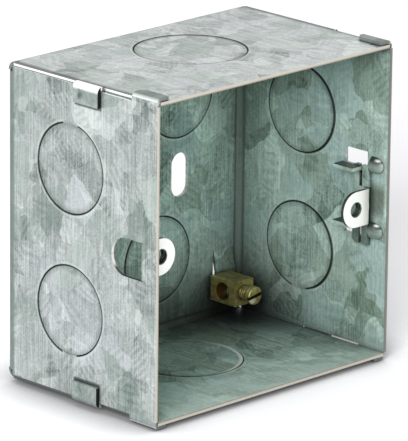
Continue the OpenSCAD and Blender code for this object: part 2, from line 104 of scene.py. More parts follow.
def spangle(tree, place, flat):
    """Tone, hue and relief of hot-dip zinc: crystals that froze in sharp patches, feathers, roll lines, grit."""
    wander = add_node(tree, "ShaderNodeTexNoise", {"Vector": place, "Scale": 0.8 / CRYSTAL, "Detail": 2.0,
                                                   "Roughness": 0.55}, out="Color")
    wander = add_node(tree, "ShaderNodeVectorMath", {0: wander, 1: (0.5, 0.5, 0.5)}, operation="SUBTRACT")
    wander = add_node(tree, "ShaderNodeVectorMath", {0: wander, "Scale": 1.7 * CRYSTAL}, operation="SCALE")
    bent = add_node(tree, "ShaderNodeVectorMath", {0: place, 1: wander}, operation="ADD")
    crystal = add_node(tree, "ShaderNodeTexVoronoi", {"Vector": bent, "Scale": 1.0 / CRYSTAL}, out="Color")
    small = add_node(tree, "ShaderNodeTexVoronoi", {"Vector": bent, "Scale": 2.1 / CRYSTAL}, out="Color")
    level, hue, _ = add_node(tree, "ShaderNodeSeparateColor", {0: crystal}, out=None)
    shard, _, plume = add_node(tree, "ShaderNodeSeparateColor", {0: small}, out=None)
    level = add_node(tree, "ShaderNodeMapRange", {0: level, 3: -1.0, 4: 1.0})
    level = add_node(tree, "ShaderNodeMath", {0: level, 1: 3.0}, operation="POWER")
    shard = add_node(tree, "ShaderNodeMapRange", {0: shard, 3: -1.0, 4: 1.0})
    shard = add_node(tree, "ShaderNodeMath", {0: shard, 1: 3.0}, operation="POWER")
    grain = add_node(tree, "ShaderNodeVectorMath", {0: small, 1: (0.5, 0.5, 0.5)}, operation="SUBTRACT")
    along = add_node(tree, "ShaderNodeVectorMath", {0: place, 1: grain}, out="Value", operation="DOT_PRODUCT")
    along = add_node(tree, "ShaderNodeMath", {0: along, 1: 75.0 / CRYSTAL}, operation="MULTIPLY")
    feather = add_node(tree, "ShaderNodeMath", {0: along}, operation="SINE")
    plume = add_node(tree, "ShaderNodeMapRange", {0: plume, 1: 0.45, 2: 0.75})
    feather = add_node(tree, "ShaderNodeMath", {0: feather, 1: plume}, operation="MULTIPLY")
    cloud = add_node(tree, "ShaderNodeTexNoise", {"Vector": place, "Scale": 2.2 / CRYSTAL, "Detail": 5.0,
                                                  "Roughness": 0.72})
    squeeze = add_node(tree, "ShaderNodeMix", {0: flat, 4: (1, 1, 0.03), 5: (1, 0.03, 1)}, out=1, data_type="VECTOR")
    rolled = add_node(tree, "ShaderNodeVectorMath", {0: place, 1: squeeze}, operation="MULTIPLY")
    rolled = add_node(tree, "ShaderNodeTexNoise", {"Vector": rolled, "Scale": 1 / ROLL_LINE, "Detail": 2.0})
    grit = add_node(tree, "ShaderNodeTexNoise", {"Vector": place, "Scale": 1 / (0.5 * MM), "Detail": 2.0})
    tone = 0.5
    for part, share, middle in ((level, 0.24, 0.0), (shard, 0.23, 0.0), (feather, 0.08, 0.0), (cloud, 0.45, 0.5),
                                (rolled, 0.85, 0.5), (grit, 0.60, 0.5)):
        part = add_node(tree, "ShaderNodeMath", {0: part, 1: middle}, operation="SUBTRACT")
        tone = add_node(tree, "ShaderNodeMath", {0: part, 1: share, 2: tone}, operation="MULTIPLY_ADD")
    return add_node(tree, "ShaderNodeClamp", {0: tone}), hue, cloud


def zinc_sheet(name, metallic, dull, bright):
    """Galvanised sheet: returns its material, tree, shader, coordinates, normal, tone and hue."""
    material = bpy.data.materials.new(name)
    material.use_nodes = True
    tree = material.node_tree
    place = add_node(tree, "ShaderNodeTexCoord", {}, out="Object")
    normal = add_node(tree, "ShaderNodeNewGeometry", {}, out="Normal")
    upward = add_node(tree, "ShaderNodeSeparateXYZ", {0: normal}, out=2)
    upward = add_node(tree, "ShaderNodeMath", {0: upward}, operation="ABSOLUTE")
    flat = add_node(tree, "ShaderNodeMath", {0: upward, 1: 0.7}, operation="GREATER_THAN")
    tone, hue, cloud = spangle(tree, place, flat)
    shader = tree.nodes["Principled BSDF"]
    shader.inputs["Metallic"].default_value = metallic
    gloss = add_node(tree, "ShaderNodeMapRange", {0: tone, 3: dull, 4: bright})
    tree.links.new(gloss, shader.inputs["Roughness"])
    relief = add_node(tree, "ShaderNodeBump", {"Strength": 0.25, "Distance": 0.02 * MM, "Height": cloud})
    tree.links.new(relief, shader.inputs["Normal"])
    return material, tree, shader, place, normal, tone, hue


# Hot-dip galvanised steel: zinc grey with a green cast, in sharp feathery patches that run from dull
# green-grey to pale lilac, over fine straight lines from the mill's rolls. Spangle is 4 to 12 mm wide;
# the roll lines are drawn 0.3 mm apart, coarser than the real ones, so that they show.
zinc, tree, shader, place, normal, tone, hue = zinc_sheet("Hot-dip galvanised sheet", 0.55, 0.62, 0.42)
x, y, z = add_node(tree, "ShaderNodeSeparateXYZ", {0: place}, out=None)
side = add_node(tree, "ShaderNodeMath", {0: x}, operation="ABSOLUTE")
rise = add_node(tree, "ShaderNodeMath", {0: z, 1: MIDDLE}, operation="SUBTRACT")
rise = add_node(tree, "ShaderNodeMath", {0: rise}, operation="ABSOLUTE")
HALF = TOP - MIDDLE
facing_x, facing_y, facing_z = add_node(tree, "ShaderNodeSeparateXYZ", {0: normal}, out=None)
facing_side = add_node(tree, "ShaderNodeMath", {0: facing_x}, operation="ABSOLUTE")

outside = add_node(tree, "ShaderNodeMix", {0: tone, 6: srgb("#4f5b58"), 7: srgb("#d9dfdd")}, out=2, data_type="RGBA")
pits = add_node(tree, "ShaderNodeTexVoronoi", {"Vector": place, "Scale": 1 / (3.4 * MM)}, out=None)
is_pit = add_node(tree, "ShaderNodeSeparateXYZ", {0: pits[1]})
is_pit = patch(tree, (is_pit, 0.6, 1.2, 0.01), (pits[0], -1.0, 0.06, 0.05))
outside = tint(tree, outside, "#bfbfcb", 0.22, patch(tree, (hue, 0.86, 1.2, 0.02)))
outside = tint(tree, outside, "#7f9187", 0.35, patch(tree, (hue, -0.2, 0.22, 0.02)))
# Walls facing sideways are painted darker, more so toward the top, and the plates facing up or down lighter: painted
# shade and painted light for how the lamp falls on each face.
outside = tint(tree, outside, "#4c5c57", 0.17, patch(tree, (facing_side, 0.8, 1.1, 0.1)))
outside = tint(tree, outside, "#4c5c57", 0.18, patch(tree, (facing_side, 0.8, 1.1, 0.1), (z, TOP - 2 * MM, TOP + 40 * MM, 40 * MM)))
outside = tint(tree, outside, "#fbfdfc", 0.13, patch(tree, (facing_z, 0.8, 1.1, 0.1)))
# Inside the box the same sheet takes a greener ramp, painted reflected light from the box's own walls, and its side
# walls are painted a little lighter, painted light.
within = add_node(tree, "ShaderNodeMix", {0: tone, 6: srgb("#3f5a50"), 7: srgb("#daf0e7")}, out=2, data_type="RGBA")
within = tint(tree, within, "#a9c4c4", 0.35, patch(tree, (hue, 0.72, 1.2, 0.02)))
within = tint(tree, within, "#e6fff4", 0.07, patch(tree, (facing_side, 0.8, 1.1, 0.1)))
within = tint(tree, within, "#5f7055", 0.35, patch(tree, (hue, -0.2, 0.2, 0.02)))
is_within = patch(tree, (side, -1.0, SIDE - SHEET + 0.25 * MM, 0.01 * MM), (y, FRONT + 0.1 * MM, BACK - SHEET + 0.1 * MM, 0.01 * MM),
                  (rise, -1.0, HALF - SHEET + 0.1 * MM, 0.01 * MM))
colour = add_node(tree, "ShaderNodeMix", {0: is_within, 6: outside, 7: within}, out=2, data_type="RGBA")
colour = tint(tree, colour, "#2b332d", 0.75, is_pit)

# Inside, the back is painted a little darker and greyer than the walls: painted shade. Each fold is a painted dark line
# of shade between two strips painted slightly darker, painted shade, with their shine taken away so that they show no
# highlight.
near_back = patch(tree, (y, BACK - SHEET - 1.5 * MM, BACK + MM, 1.5 * MM))
colour = tint(tree, colour, "#4e5f52", 0.08, is_within, near_back)
# The floor is painted lighter toward the mouth, painted light from the open front, and darker toward the right wall.
mouth = patch(tree, (z, BOTTOM, BOTTOM + 2 * MM, MM), (y, FRONT - 5 * MM, FRONT + 6 * MM, 12 * MM))
colour = tint(tree, colour, "#e3f2ea", 0.5, is_within, mouth)
far = patch(tree, (z, BOTTOM, BOTTOM + 2 * MM, MM), (x, 24 * MM, 60 * MM, 20 * MM))
colour = tint(tree, colour, "#2a3a31", 0.35, is_within, far)
dulled_folds_and_crevices = None
for across, edge in ((side, SIDE), (rise, HALF)):
    arc = patch(tree, (across, edge - BEND - 0.1 * MM, edge, 0.15 * MM), (y, BACK - BEND - 0.1 * MM, BACK - SHEET + 0.1 * MM, 0.15 * MM))
    colour = tint(tree, colour, "#1a251d", 0.22, is_within, arc)
    arc = add_node(tree, "ShaderNodeMath", {0: arc, 1: is_within}, operation="MULTIPLY")
    dulled_folds_and_crevices = arc if dulled_folds_and_crevices is None else add_node(tree, "ShaderNodeMath", {0: dulled_folds_and_crevices, 1: arc}, operation="MAXIMUM")
    skew = add_node(tree, "ShaderNodeMath", {0: across, 1: y}, operation="SUBTRACT")
    crease = patch(tree, (skew, edge - BACK - 1.35 * MM, edge - BACK - 0.95 * MM, 0.3 * MM), (across, edge - BEND - 0.4 * MM, edge, 0.1 * MM),
                   (y, BACK - BEND, BACK, 0.1 * MM))
    colour = tint(tree, colour, "#0d120e", 0.85, is_within, crease)

# The folds outside are painted darker, painted shade where the curved sheet turns away from the light, and the top and
# bottom plates' sheared side edges are rolled over, with the roll's shade painted as a dark band.
colour = tint(tree, colour, "#66736c", 0.85, patch(tree, (side, SIDE - BEND, SIDE + MM, 0.1 * MM), (y, BACK - BEND - 0.6 * MM, BACK + MM, 0.3 * MM)))
colour = tint(tree, colour, "#6d736f", 0.8, patch(tree, (side, -1.0, SIDE, 0.1 * MM), (rise, HALF - BEND, HALF + MM, 0.1 * MM),
                                                 (y, BACK - BEND + 0.2 * MM, BACK + MM, 0.5 * MM)))
colour = tint(tree, colour, "#434a46", 0.95, patch(tree, (rise, HALF - 0.05 * MM, HALF + 0.05 * MM, 0.01 * MM),
                                                   (side, SIDE - 1.3 * MM, SIDE, 0.8 * MM), (y, FRONT + CORNER_TAB, BACK - BEND, 0.5 * MM)))

# Sheared edges are bare steel. The front rims are pale, with a brown fringe inside them; the plates' side edges and the
# walls' top edges are painted white, painted highlights.
rim = patch(tree, (y, FRONT - 0.1 * MM, FRONT + 0.05 * MM, 0.01 * MM))
colour = tint(tree, colour, "#c1bcb1", 0.95, rim)
colour = tint(tree, colour, "#8a7f6e", 0.8, rim, patch(tree, (rise, HALF - SHEET - 0.05 * MM, HALF - 0.58 * MM, 0.08 * MM), (side, -1.0, SIDE - SHEET, 0.01 * MM)))
colour = tint(tree, colour, "#8a7f6e", 0.8, rim, patch(tree, (side, SIDE - SHEET - 0.05 * MM, SIDE - 0.58 * MM, 0.08 * MM), (rise, -1.0, HALF - SHEET, 0.01 * MM)))
# The right wall's front rim is painted darker grey: painted shade.
colour = tint(tree, colour, "#6b706a", 0.9, rim, patch(tree, (x, SIDE - SHEET - 0.05 * MM, SIDE + MM, 0.01 * MM)))
plate_edge = patch(tree, (facing_side, 0.9, 1.1, 0.01), (side, SIDE - 1.1 * MM, SIDE - 0.2 * MM, 0.01 * MM),
                   (rise, HALF - SHEET - 0.01 * MM, HALF + 0.1 * MM, 0.01 * MM), (y, FRONT + CORNER_TAB, BACK - BEND, 0.1 * MM))
colour = tint(tree, colour, "#fdfdfc", 1.0, plate_edge)
# The bottom plate's side edge is painted dark, and a band along each side edge's outer corner darker: painted shade.
colour = tint(tree, colour, "#2b312c", 0.9, plate_edge, patch(tree, (z, -MM, BOTTOM + MM, 0.01 * MM)))
colour = tint(tree, colour, "#4a514c", 0.9, plate_edge, patch(tree, (rise, HALF - 0.28 * MM, HALF + 0.1 * MM, 0.05 * MM)))
wall_edge = patch(tree, (facing_z, 0.9, 1.1, 0.01), (side, SIDE - SHEET - 0.05 * MM, SIDE + 0.05 * MM, 0.01 * MM),
                  (rise, HALF - 1.3 * MM, HALF - SHEET, 0.01 * MM))
colour = tint(tree, colour, "#fdfdfc", 1.0, wall_edge)

# Side tabs: a painted white highlight over the bend, painted shade on the flat, a painted dark spot of shade in the
# stake dimple, and a black front edge, painted shade.
tab_length = (y, FRONT + SIDE_TAB[0] - 0.1 * MM, FRONT + SIDE_TAB[1] + 0.1 * MM, 0.01 * MM)
colour = tint(tree, colour, "#ffffff", 1.0, patch(tree, tab_length, (side, SIDE - SEAM, SIDE + 2 * MM, 0.2 * MM), (z, TOP - 1.1 * MM, TOP + MM, 0.4 * MM)))
colour = tint(tree, colour, "#6f7d77", 0.6, patch(tree, tab_length, (side, SIDE + 0.5 * MM, SIDE + 2 * MM, 0.05 * MM), (z, TOP - 5 * MM, TOP - 1.5 * MM, 0.15 * MM)))
colour = tint(tree, colour, "#3b4641", 0.8, patch(tree, (y, FRONT + SIDE_TAB[1] - 2.3 * MM, FRONT + SIDE_TAB[1] - 1.1 * MM, 0.4 * MM), (side, SIDE + 0.5 * MM, SIDE + 2 * MM, 0.05 * MM),
                                                 (z, TOP - 3.5 * MM, TOP - 2.2 * MM, 0.4 * MM)))
colour = tint(tree, colour, "#7d8c86", 0.45, patch(tree, tab_length, (side, SIDE + 0.5 * MM, SIDE + 2 * MM, 0.05 * MM), (z, BOTTOM - MM, BOTTOM + 4.9 * MM, 0.15 * MM)))
colour = tint(tree, colour, "#12150f", 1.0, patch(tree, (y, FRONT + SIDE_TAB[0] - 0.1 * MM, FRONT + SIDE_TAB[0] + 0.05 * MM, 0.01 * MM), (side, SIDE + 0.05 * MM, SIDE + 2 * MM, 0.02 * MM)))

tab_shadow = patch(tree, (side, SIDE - 0.05 * MM, SIDE + 0.05 * MM, 0.01 * MM), (y, FRONT + SIDE_TAB[0] - 0.2 * MM, FRONT + SIDE_TAB[1] + 0.35 * MM, 0.15 * MM), (rise, HALF - 5.35 * MM, HALF, 0.2 * MM))
colour = tint(tree, colour, "#333d38", 0.85, tab_shadow)

# Corner tabs: dull grey on the flat, with a painted highlight where they fold over the wall.
corner_top = patch(tree, (rise, HALF + 0.05 * MM, HALF + 1.2 * MM, 0.02 * MM), (y, FRONT, FRONT + CORNER_TAB + 0.2 * MM, 0.1 * MM))
colour = tint(tree, colour, "#717975", 0.85, corner_top)
colour = tint(tree, colour, "#e4e9e6", 0.75, corner_top, patch(tree, (side, SIDE - 0.5 * MM, SIDE + 0.2 * MM, 0.3 * MM)))

# Knockouts: the shear line is painted as a dark line, painted shade in the groove, with a painted highlight on the lip
# outside it and painted shade in a soft band just inside it.
KNOCKOUT_Y = 3.2 * MM
on_side = patch(tree, (facing_side, 0.9, 1.1, 0.01))
on_plate = add_node(tree, "ShaderNodeMath", {0: facing_z}, operation="ABSOLUTE")
on_plate = patch(tree, (on_plate, 0.9, 1.1, 0.01))
on_back = patch(tree, (facing_y, -1.1, -0.9, 0.01), (y, BACK - SHEET - 0.3 * MM, BACK, 0.01 * MM))
for wall, across, upward, centre, radius, line in (
        (on_side, y, rise, (KNOCKOUT_Y, 16.0 * MM), 10.1 * MM, 0.95), (on_plate, x, y, (0.0, KNOCKOUT_Y), 12.5 * MM, 0.85),
        (on_back, side, z, (16.2 * MM, MIDDLE + 18.9 * MM), 10.1 * MM, 0.85), (on_back, x, z, (-16.2 * MM, MIDDLE - 18.7 * MM), 10.1 * MM, 0.85),
        (on_back, x, z, (9.4 * MM, MIDDLE - 18.7 * MM), 10.1 * MM, 0.85)):
    spot = add_node(tree, "ShaderNodeCombineXYZ", {0: across, 1: upward})
    reach = add_node(tree, "ShaderNodeVectorMath", {0: spot, 1: (*centre, 0.0)}, out="Value", operation="DISTANCE")
    tag = patch(tree, (across, centre[0] - 2.3 * MM, centre[0] + 2.3 * MM, 0.2 * MM), (upward, centre[1], centre[1] + 12 * MM, 0.1 * MM))
    clear = add_node(tree, "ShaderNodeMath", {0: 1.0, 1: tag}, operation="SUBTRACT")
    colour = tint(tree, colour, "#e6f0ea", 0.25, wall, clear, patch(tree, (reach, radius + 0.15 * MM, radius + 0.65 * MM, 0.2 * MM)))
    colour = tint(tree, colour, "#3c4a41", 0.35, wall, patch(tree, (reach, radius - 0.9 * MM, radius, 0.6 * MM)))
    colour = tint(tree, colour, "#151b16", line, wall, clear, patch(tree, (reach, radius - 0.2 * MM, radius + 0.2 * MM, 0.12 * MM)))

# A painted highlight on the floor knockout's front lip.
lip_highlight = add_node(tree, "ShaderNodeCombineXYZ", {0: x, 1: y})
lip_highlight = add_node(tree, "ShaderNodeVectorMath", {0: lip_highlight, 1: (-0.8 * MM, KNOCKOUT_Y + 0.5 * MM, 0.0)}, out="Value", operation="DISTANCE")
lip_highlight = patch(tree, (lip_highlight, 12.45 * MM, 13.6 * MM, 0.15 * MM), (x, -1.5 * MM, 20 * MM, 3 * MM), (y, FRONT, KNOCKOUT_Y + 5 * MM, 3 * MM))
colour = tint(tree, colour, "#eef6f1", 0.8, is_within, lip_highlight, patch(tree, (z, BOTTOM, BOTTOM + 2 * MM, 0.01 * MM)))

# On the right wall the shear line is painted broader toward the front: painted shade.
spot = add_node(tree, "ShaderNodeCombineXYZ", {0: y, 1: rise})
reach = add_node(tree, "ShaderNodeVectorMath", {0: spot, 1: (KNOCKOUT_Y - 0.3 * MM, 16.0 * MM, 0.0)}, out="Value", operation="DISTANCE")
colour = tint(tree, colour, "#151b16", 0.9, is_within, on_side, patch(tree, (reach, 9.95 * MM, 10.35 * MM, 0.1 * MM), (y, FRONT, KNOCKOUT_Y - 3 * MM, 3 * MM), (x, 0.0, 37 * MM, MM)))

# Guides and noses on the right wall: the guides are painted dark on top and underneath, painted shade, and light on a
# sheared edge, a painted highlight.
guides = patch(tree, (x, 30 * MM, 34.3 * MM, 0.1 * MM), (y, FRONT + 6 * MM, FRONT + 14 * MM, 0.1 * MM), (rise, 5.5 * MM, 7.3 * MM, 0.1 * MM))
colour = tint(tree, colour, "#1e261f", 0.9, guides, patch(tree, (facing_z, 0.5, 1.1, 0.1)))
colour = tint(tree, colour, "#1c231d", 0.85, guides, patch(tree, (facing_z, -1.1, -0.5, 0.1)))
colour = tint(tree, colour, "#b9c4bb", 0.7, guides, patch(tree, (facing_y, -1.1, -0.5, 0.1)))
# The noses are painted darker, darkest on top and round their rim, painted shade, with a painted highlight glint near
# each top.
noses = patch(tree, (x, 34.0 * MM, 35.15 * MM, 0.05 * MM), (y, FRONT + 0.3 * MM, FRONT + 4.9 * MM, 0.1 * MM), (rise, 5.3 * MM, 9.9 * MM, 0.1 * MM))
colour = tint(tree, colour, "#7d8a80", 0.75, noses)
colour = tint(tree, colour, "#1f2620", 0.9, noses, add_node(tree, "ShaderNodeMapRange", {0: facing_z, 1: -0.1, 2: 0.5}))
colour = tint(tree, colour, "#161c17", 0.7, patch(tree, (x, 34.98 * MM, 35.17 * MM, 0.05 * MM), (y, FRONT + 0.3 * MM, FRONT + 4.9 * MM, 0.1 * MM), (rise, 5.3 * MM, 9.9 * MM, 0.1 * MM)))
for low_z in (MIDDLE + 8.7 * MM, MIDDLE - 6.3 * MM):
    glint = patch(tree, (x, 34.0 * MM, 35.1 * MM, 0.05 * MM), (y, FRONT + 2.0 * MM, FRONT + 3.2 * MM, 0.4 * MM), (z, low_z, low_z + 0.4 * MM, 0.2 * MM))
    colour = tint(tree, colour, "#f7f8f2", 0.95, glint)
# The wall between the noses is painted dark: painted shade.
between = patch(tree, (x, 35.0 * MM, 35.5 * MM, 0.1 * MM), (y, FRONT + 0.9 * MM, FRONT + 5 * MM, 0.4 * MM), (z, MIDDLE - 4.6 * MM, MIDDLE + 3.0 * MM, 1.4 * MM))
colour = tint(tree, colour, "#3d473d", 0.75, between)

# The lug's face is painted near white.
lug_face = patch(tree, (facing_y, -1.1, -0.9, 0.02), (y, FRONT + LUG_SETBACK - 0.05 * MM, FRONT + LUG_SETBACK + 0.05 * MM, 0.01 * MM),
                 (side, 0.0, SIDE - SHEET, 0.01 * MM))
colour = tint(tree, colour, "#f9f9f4", 0.9, lug_face)
LUG_X, LUG_Z, HOLE_R = 30.15 * MM, MIDDLE, 1.65 * MM
axis = add_node(tree, "ShaderNodeCombineXYZ", {0: x, 1: z})
reach = add_node(tree, "ShaderNodeVectorMath", {0: axis, 1: (-LUG_X, LUG_Z, 0.0)}, out="Value", operation="DISTANCE")
# The hole is painted near black: painted shade.
in_hole = patch(tree, (reach, -1.0, HOLE_R + 0.05 * MM, 0.12 * MM), (y, FRONT + LUG_SETBACK - 0.1 * MM, FRONT + LUG_SETBACK + 3 * MM, 0.01 * MM))
colour = tint(tree, colour, "#151814", 0.85, in_hole)
# The window's sheared edges are painted light where they face the front, a painted highlight, and dark where they face
# up, painted shade.
window_edge = patch(tree, (side, SIDE - SHEET + 0.05 * MM, SIDE - 0.05 * MM, 0.01 * MM), (facing_side, -0.5, 0.5, 0.1), (x, -37 * MM, 0.0, 0.01 * MM),
                    (y, FRONT + 5 * MM, FRONT + 14 * MM, 0.1 * MM), (rise, 0.0, 5 * MM, 0.1 * MM))
colour = tint(tree, colour, "#f3e9e8", 0.9, window_edge, patch(tree, (facing_y, -1.1, -0.3, 0.1)))
colour = tint(tree, colour, "#1a1f1b", 0.9, window_edge, patch(tree, (facing_z, 0.6, 1.1, 0.1)))
# The lug's sheared edge is painted dark: painted shade.
lug_edge = patch(tree, (facing_y, -0.6, 0.6, 0.1), (y, FRONT + LUG_SETBACK, FRONT + LUG_SETBACK + SHEET, 0.01 * MM),
                 (side, 0.0, SIDE - 2 * SHEET, 0.01 * MM), (rise, 0.0, 4.3 * MM, 0.01 * MM))
colour = tint(tree, colour, "#2a302b", 0.85, lug_edge)

# Painted shade: dark in the shear lines and crevices, darker in the deep end of the box, lower down toward the back,
# and darkest in the corner by the floor at the back right.
crevice = add_node(tree, "ShaderNodeAmbientOcclusion", {"Distance": 1.2 * MM}, out="AO", samples=4)
crevice_shade = add_node(tree, "ShaderNodeMapRange", {0: crevice, 1: 0.95, 2: 0.35}, interpolation_type="SMOOTHSTEP")
colour = tint(tree, colour, "#121712", 0.95, crevice_shade)
depth = add_node(tree, "ShaderNodeAmbientOcclusion", {"Distance": 22 * MM}, out="AO", samples=4)
shade = add_node(tree, "ShaderNodeMapRange", {0: depth, 1: 0.75, 2: 0.15}, interpolation_type="SMOOTHSTEP")
colour = tint(tree, colour, "#1a251d", 0.85, is_within, shade)
low = patch(tree, (z, BOTTOM - 20 * MM, BOTTOM + 14 * MM, 14 * MM), (y, FRONT + 26 * MM, BACK + 20 * MM, 16 * MM))
colour = tint(tree, colour, "#1a251d", 0.38, is_within, low)
corner = patch(tree, (z, BOTTOM - 8 * MM, BOTTOM + 7 * MM, 6 * MM), (y, BACK - 15 * MM, BACK + 20 * MM, 9 * MM), (x, 14 * MM, 60 * MM, 14 * MM))
colour = tint(tree, colour, "#060a06", 0.85, is_within, corner)
tree.links.new(colour, shader.inputs["Base Color"])
# The folds and the painted crevice shade lose the metal's shine.
dulled_folds_and_crevices = add_node(tree, "ShaderNodeMath", {0: dulled_folds_and_crevices, 1: crevice_shade}, operation="MAXIMUM")
tree.links.new(add_node(tree, "ShaderNodeMapRange", {0: dulled_folds_and_crevices, 3: 0.55, 4: 0.0}), shader.inputs["Metallic"])
tree.links.new(add_node(tree, "ShaderNodeMapRange", {0: dulled_folds_and_crevices, 3: 0.5, 4: 0.05}), shader.inputs["Specular IOR Level"])


def dress(node, material):
    """Gives a CAD node its finish."""
    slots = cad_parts[node].data.materials
    slots.clear()
    slots.append(material)


dress("box_body", zinc)


def thread_ridge(name, centre, root, crest, pitch, turns, material, body):
    """A helical ridge along Y from a diamond profile whose outer half is buried in the metal."""
    bpy.ops.object.select_all(action="DESELECT")
    bpy.ops.mesh.primitive_circle_add(vertices=4, radius=1, fill_type="NOTHING", location=centre)
    ridge = bpy.context.object
    ridge.name = name
    bpy.ops.object.mode_set(mode="EDIT")
    bpy.ops.mesh.select_all(action="SELECT")
    bpy.ops.transform.resize(value=(abs(crest - root), 0.45 * pitch, 1), center_override=centre)
    bpy.ops.transform.translate(value=(root, 0, 0))
    bpy.ops.object.mode_set(mode="OBJECT")
    coil = ridge.modifiers.new("thread", "SCREW")
    coil.axis = "Y"
    coil.screw_offset = pitch
    coil.iterations = turns
    coil.steps = 40
    coil.render_steps = 40
    bpy.ops.object.modifier_apply(modifier="thread")
    bpy.ops.object.mode_set(mode="EDIT")
    bpy.ops.mesh.select_all(action="SELECT")
    bpy.ops.mesh.fill_holes(sides=4)
    bpy.ops.mesh.select_all(action="SELECT")
    bpy.ops.mesh.normals_make_consistent(inside=False)
    bpy.ops.object.mode_set(mode="OBJECT")
    bpy.ops.object.transform_apply(location=True, rotation=True, scale=True)
    ridge.data.materials.append(material)
    if body:
        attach(ridge, body)
    return ridge


# Thread of the fixed lug: tapped M3.5, pitch 0.6 mm, in the drawn collar. Its crests stand into the hole.
CREST_R, PITCH = 1.40 * MM, 0.6 * MM
ridge_zinc, tree, shader, place, normal, tone, hue = zinc_sheet("Tapped zinc and steel", 0.8, 0.5, 0.35)
# The thread is painted near black, painted shade deep in the hole, and darker still in its crevices, painted shade.
colour = add_node(tree, "ShaderNodeMix", {0: tone, 6: srgb("#14160f"), 7: srgb("#5f635b")}, out=2, data_type="RGBA")
crevice = add_node(tree, "ShaderNodeAmbientOcclusion", {"Distance": 0.8 * MM}, out="AO", samples=4)
colour = tint(tree, colour, "#0c0f0b", 0.9, add_node(tree, "ShaderNodeMapRange", {0: crevice, 1: 0.7, 2: 0.1}))
tree.links.new(colour, shader.inputs["Base Color"])
fixed_thread = thread_ridge("fixed_lug_thread", (-LUG_X, FRONT + LUG_SETBACK + 0.25 * MM, LUG_Z), HOLE_R, CREST_R, PITCH, 2,
                            ridge_zinc, "box")

# Sliding lug: a pressed slider of the same sheet with a lug bent from it, held flat on the right wall
# by two lanced guides that pass through its slot. It is duller than the wall and takes a greener ramp, painted
# reflected light inside the box, and its lug's face is painted near white, a little darker toward the wall.
slider_zinc, tree, shader, place, normal, tone, hue = zinc_sheet("Galvanised slider", 0.55, 0.6, 0.4)
x, y, z = add_node(tree, "ShaderNodeSeparateXYZ", {0: place}, out=None)
facing_y = add_node(tree, "ShaderNodeSeparateXYZ", {0: normal}, out=1)
colour = add_node(tree, "ShaderNodeMix", {0: tone, 6: srgb("#4f665b"), 7: srgb("#cfe6dc")}, out=2, data_type="RGBA")
lug_face = patch(tree, (facing_y, -1.1, -0.9, 0.02), (y, FRONT + LUG_SETBACK - 0.05 * MM, FRONT + LUG_SETBACK + 0.05 * MM, 0.01 * MM))
colour = tint(tree, colour, "#f9f9f4", 0.9, lug_face)
colour = tint(tree, colour, "#b3ab9a", 0.5, lug_face, patch(tree, (x, 33.2 * MM, 36 * MM, 1.2 * MM)))
# The hole is painted near black, and the slider below the lug darker: painted shade.
axis = add_node(tree, "ShaderNodeCombineXYZ", {0: x, 1: z})
reach = add_node(tree, "ShaderNodeVectorMath", {0: axis, 1: (LUG_X, LUG_Z - 1.9 * MM, 0.0)}, out="Value", operation="DISTANCE")
in_hole = patch(tree, (reach, -1.0, HOLE_R + 0.05 * MM, 0.12 * MM))
colour = tint(tree, colour, "#0a0c09", 0.95, in_hole)
colour = tint(tree, colour, "#2f3a33", 0.6, patch(tree, (z, LUG_Z - 30 * MM, LUG_Z - 6.4 * MM, 0.6 * MM)))
# The lug's sheared edge is painted dark, and its crevices darker: painted shade.
lug_edge = patch(tree, (facing_y, -0.6, 0.6, 0.1), (y, FRONT + LUG_SETBACK, FRONT + LUG_SETBACK + SHEET, 0.01 * MM),
                 (x, 20 * MM, 33.5 * MM, 0.01 * MM))
colour = tint(tree, colour, "#2a302b", 0.9, lug_edge)
crevice = add_node(tree, "ShaderNodeAmbientOcclusion", {"Distance": 1.2 * MM}, out="AO", samples=4)
crevice_shade = add_node(tree, "ShaderNodeMapRange", {0: crevice, 1: 0.95, 2: 0.35}, interpolation_type="SMOOTHSTEP")
colour = tint(tree, colour, "#121712", 0.95, crevice_shade)
tree.links.new(colour, shader.inputs["Base Color"])
dress("adjustable_lug", slider_zinc)
sliding_thread = thread_ridge("sliding_lug_thread", (LUG_X, FRONT + LUG_SETBACK + 0.25 * MM, LUG_Z - 1.9 * MM), HOLE_R, CREST_R,
                              PITCH, 2, ridge_zinc, "lug_slider")

# Earth terminal: a brass block riveted to the tongue, milled from bar and drilled for the wire. Brass
# is yellow-olive in this light, with a darker random stain, painted shade in its crevices, a painted dark ring of shade
# round the drilling and a coppery lip at one side of it.
brass = bpy.data.materials.new("Milled brass")
brass.use_nodes = True
tree = brass.node_tree
shader = tree.nodes["Principled BSDF"]
place = add_node(tree, "ShaderNodeTexCoord", {}, out="Object")
stain = add_node(tree, "ShaderNodeTexNoise", {"Vector": place, "Scale": 1 / (1.4 * MM), "Detail": 5.0, "Roughness": 0.7})
stain = add_node(tree, "ShaderNodeMapRange", {0: stain, 1: 0.3, 2: 0.7})
colour = add_node(tree, "ShaderNodeMix", {0: stain, 6: srgb("#6a5f2f"), 7: srgb("#bfb276")}, out=2, data_type="RGBA")
x, y, z = add_node(tree, "ShaderNodeSeparateXYZ", {0: place}, out=None)
WIRE_Y, WIRE_Z, WIRE_R = 17.7 * MM, 8.6 * MM, 1.95 * MM
spot = add_node(tree, "ShaderNodeCombineXYZ", {0: y, 1: z})
reach = add_node(tree, "ShaderNodeVectorMath", {0: spot, 1: (WIRE_Y, WIRE_Z, 0.0)}, out="Value", operation="DISTANCE")
bore = patch(tree, (reach, WIRE_R - 0.05 * MM, WIRE_R + 0.12 * MM, 0.1 * MM), (x, 25.3 * MM, 31.5 * MM, 0.1 * MM))
colour = tint(tree, colour, "#100b03", 0.9, bore)
colour = tint(tree, colour, "#8a4a17", 0.8, bore, patch(tree, (y, WIRE_Y + 1.0 * MM, WIRE_Y + 3 * MM, 0.6 * MM), (x, 25.3 * MM, 26.8 * MM, 0.8 * MM)))
